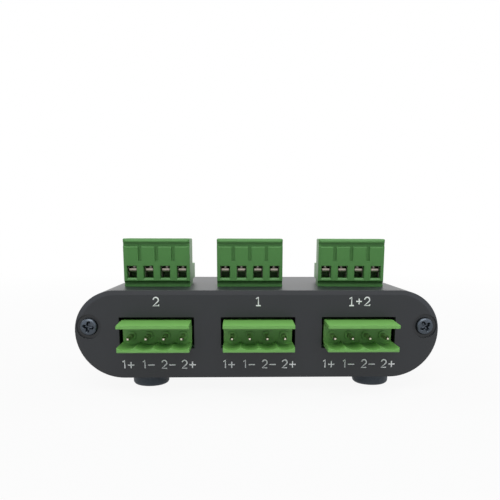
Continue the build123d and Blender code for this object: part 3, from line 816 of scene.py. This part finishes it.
# Each lamp's place in metres, the side of its square in metres, its power in watts and its colour
LAMPS = {
    "rear_light": ((0.0, 0.45, 0.8), 0.8, 7.0, "FFFFFF"),
    "left_side_light": ((0.7, 0.75, 0.35), 0.5, 0.8, "D8E6FF"),
    "left_front_light": ((0.7, -0.3, 0.65), 0.6, 3.2, "FFFFFF"),
    "right_side_light": ((-0.7, 0.75, 0.35), 0.5, 0.8, "D8E6FF"),
    "right_front_light": ((-0.7, -0.3, 0.65), 0.6, 3.2, "FFFFFF"),
}
SURROUND_LIGHT = 0.2
FLOOR_HALF_WIDTH = 6.0
# The share of white in the floor near the box, and how far from its middle that share becomes whole
FLOOR_WHITE = 0.92
FADE_START, FADE_END = 0.1, 0.5
# The frame is square. The lens's axis meets it at this point, from its upper left corner
FRAME_PIXELS = 500
FOCAL_PIXELS = 551
VIEW_CENTRE = (256, 334)
SENSOR_WIDTH = 36.0
NEAREST_SEEN = 0.01
# How far the camera stands to the right of and above the line through the rear panel's middle
CAMERA_OFFSET = (-0.62 * MM, 0.16 * MM)


class SELECTOR_OT_stage(DressStep):
    """Lay the floor, light the box and set the camera"""

    bl_idname = "selector.stage"
    bl_label = "Stage"

    def execute(self, context):
        settings = context.scene.selector_stage
        self.lay_floor(settings)
        self.fill_world(settings)
        centre = (CAD_BOX[0] + CAD_BOX[1]) / 2
        for name, (place, size, power, code) in LAMPS.items():
            soft_lamp(name, place, centre, size, power, code)
        self.set_camera(settings)
        context.scene.view_settings.view_transform = "Standard"
        return {"FINISHED"}

    def lay_floor(self, settings):
        """A wide pale floor at the feet, partly self-lit to the camera so that it looks white."""
        mesh = bpy.data.meshes.new("floor")
        form = bmesh.new()
        bmesh.ops.create_grid(form, x_segments=1, y_segments=1, size=FLOOR_HALF_WIDTH)
        form.to_mesh(mesh)
        form.free()
        material = bpy.data.materials.new("pale_floor")
        material.use_nodes = True
        tree = material.node_tree
        tree.nodes.clear()
        matte = add(tree, "ShaderNodeBsdfDiffuse", {"Color": rgba(settings.floor)})
        white = add(tree, "ShaderNodeEmission", {"Color": rgba(settings.sky), "Strength": 1.0})
        # The floor keeps the box's shadow close to it and fades into the white surround further out
        place = add(tree, "ShaderNodeTexCoord").outputs["Object"]
        away = add(tree, "ShaderNodeVectorMath", {0: place}, operation="LENGTH")
        fade = add(tree, "ShaderNodeMapRange", {
            "Value": away.outputs["Value"],
            "From Min": FADE_START,
            "From Max": FADE_END,
            "To Min": FLOOR_WHITE,
        })
        share = add(tree, "ShaderNodeMath", {0: background_rays(tree), 1: fade.outputs["Result"]},
                    operation="MULTIPLY")
        blend = add(tree, "ShaderNodeMixShader", {
            0: share.outputs[0],
            1: matte.outputs[0],
            2: white.outputs[0],
        })
        add(tree, "ShaderNodeOutputMaterial", {"Surface": blend.outputs[0]})
        mesh.materials.append(material)
        floor = bpy.data.objects.new("floor", mesh)
        bpy.context.scene.collection.objects.link(floor)
        floor.location.z = CAD_BOX[0].z

    def fill_world(self, settings):
        """An even surround: white where it is seen, and much dimmer as light."""
        world = bpy.data.worlds.new("surround")
        bpy.context.scene.world = world
        world.use_nodes = True
        tree = world.node_tree
        tree.nodes.clear()
        sky = rgba(settings.sky)
        light = add(tree, "ShaderNodeBackground", {"Color": sky, "Strength": SURROUND_LIGHT})
        seen = add(tree, "ShaderNodeBackground", {"Color": sky, "Strength": 1.0})
        blend = add(tree, "ShaderNodeMixShader", {
            0: background_rays(tree),
            1: light.outputs[0],
            2: seen.outputs[0],
        })
        add(tree, "ShaderNodeOutputWorld", {"Surface": blend.outputs[0]})

    def set_camera(self, settings):
        """A camera behind the box and a little above it."""
        yaw, elevation, roll = settings.camera_yaw, settings.camera_elevation, settings.camera_roll
        back = Vector((-math.sin(yaw) * math.cos(elevation), math.cos(yaw) * math.cos(elevation),
                       math.sin(elevation)))
        level = Vector((-math.cos(yaw), -math.sin(yaw), 0))
        upright = back.cross(level)
        right = level * math.cos(roll) + upright * math.sin(roll)
        up = back.cross(right)
        aside, above = CAMERA_OFFSET
        eye = panel_plane("rear_panel", 1).translation + back * settings.camera_distance
        eye += right * aside + up * above
        centre_x, centre_y = VIEW_CENTRE
        data = bpy.data.cameras.new("camera")
        data.sensor_width = SENSOR_WIDTH
        data.lens = SENSOR_WIDTH * FOCAL_PIXELS / FRAME_PIXELS
        data.shift_x = (FRAME_PIXELS / 2 - centre_x) / FRAME_PIXELS
        data.shift_y = (centre_y - FRAME_PIXELS / 2) / FRAME_PIXELS
        data.clip_start = NEAREST_SEEN
        camera = bpy.data.objects.new("camera", data)
        axes = Matrix((right, up, back)).transposed()
        camera.matrix_world = Matrix.Translation(eye) @ axes.to_4x4()
        bpy.context.scene.collection.objects.link(camera)
        bpy.context.scene.camera = camera


STEPS = (
    SELECTOR_OT_case,
    SELECTOR_OT_screws,
    SELECTOR_OT_feet,
    SELECTOR_OT_front_print,
    SELECTOR_OT_rear_print,
    SELECTOR_OT_buttons,
    SELECTOR_OT_springs,
    SELECTOR_OT_switches,
    SELECTOR_OT_headers,
    SELECTOR_OT_plugs,
    SELECTOR_OT_stage,
)


class SELECTOR_PT_panel(bpy.types.Panel):
    """The steps that dress the selector box, in order"""

    bl_idname = "SELECTOR_PT_panel"
    bl_label = "Selector Box"
    bl_space_type = "VIEW_3D"
    bl_region_type = "UI"
    bl_category = "Selector Box"

    def draw(self, context):
        for step in STEPS:
            self.layout.operator(step.bl_idname)


SETTINGS = {
    "selector_case": CaseSettings,
    "selector_screw": ScrewSettings,
    "selector_spring": SpringSettings,
    "selector_print": PrintSettings,
    "selector_plastic": PlasticSettings,
    "selector_metal": MetalSettings,
    "selector_stage": StageSettings,
}
CLASSES = (*SETTINGS.values(), *STEPS, SELECTOR_PT_panel)


def register():
    for cls in CLASSES:
        bpy.utils.register_class(cls)
    for name, group in SETTINGS.items():
        setattr(bpy.types.Scene, name, PointerProperty(type=group))


def unregister():
    for name in SETTINGS:
        delattr(bpy.types.Scene, name)
    for cls in reversed(CLASSES):
        bpy.utils.unregister_class(cls)


def main():
    """Run the steps in order."""
    register()
    for step in STEPS:
        family, action = step.bl_idname.split(".")
        getattr(getattr(bpy.ops, family), action)()


if __name__ == "__main__":
    main()
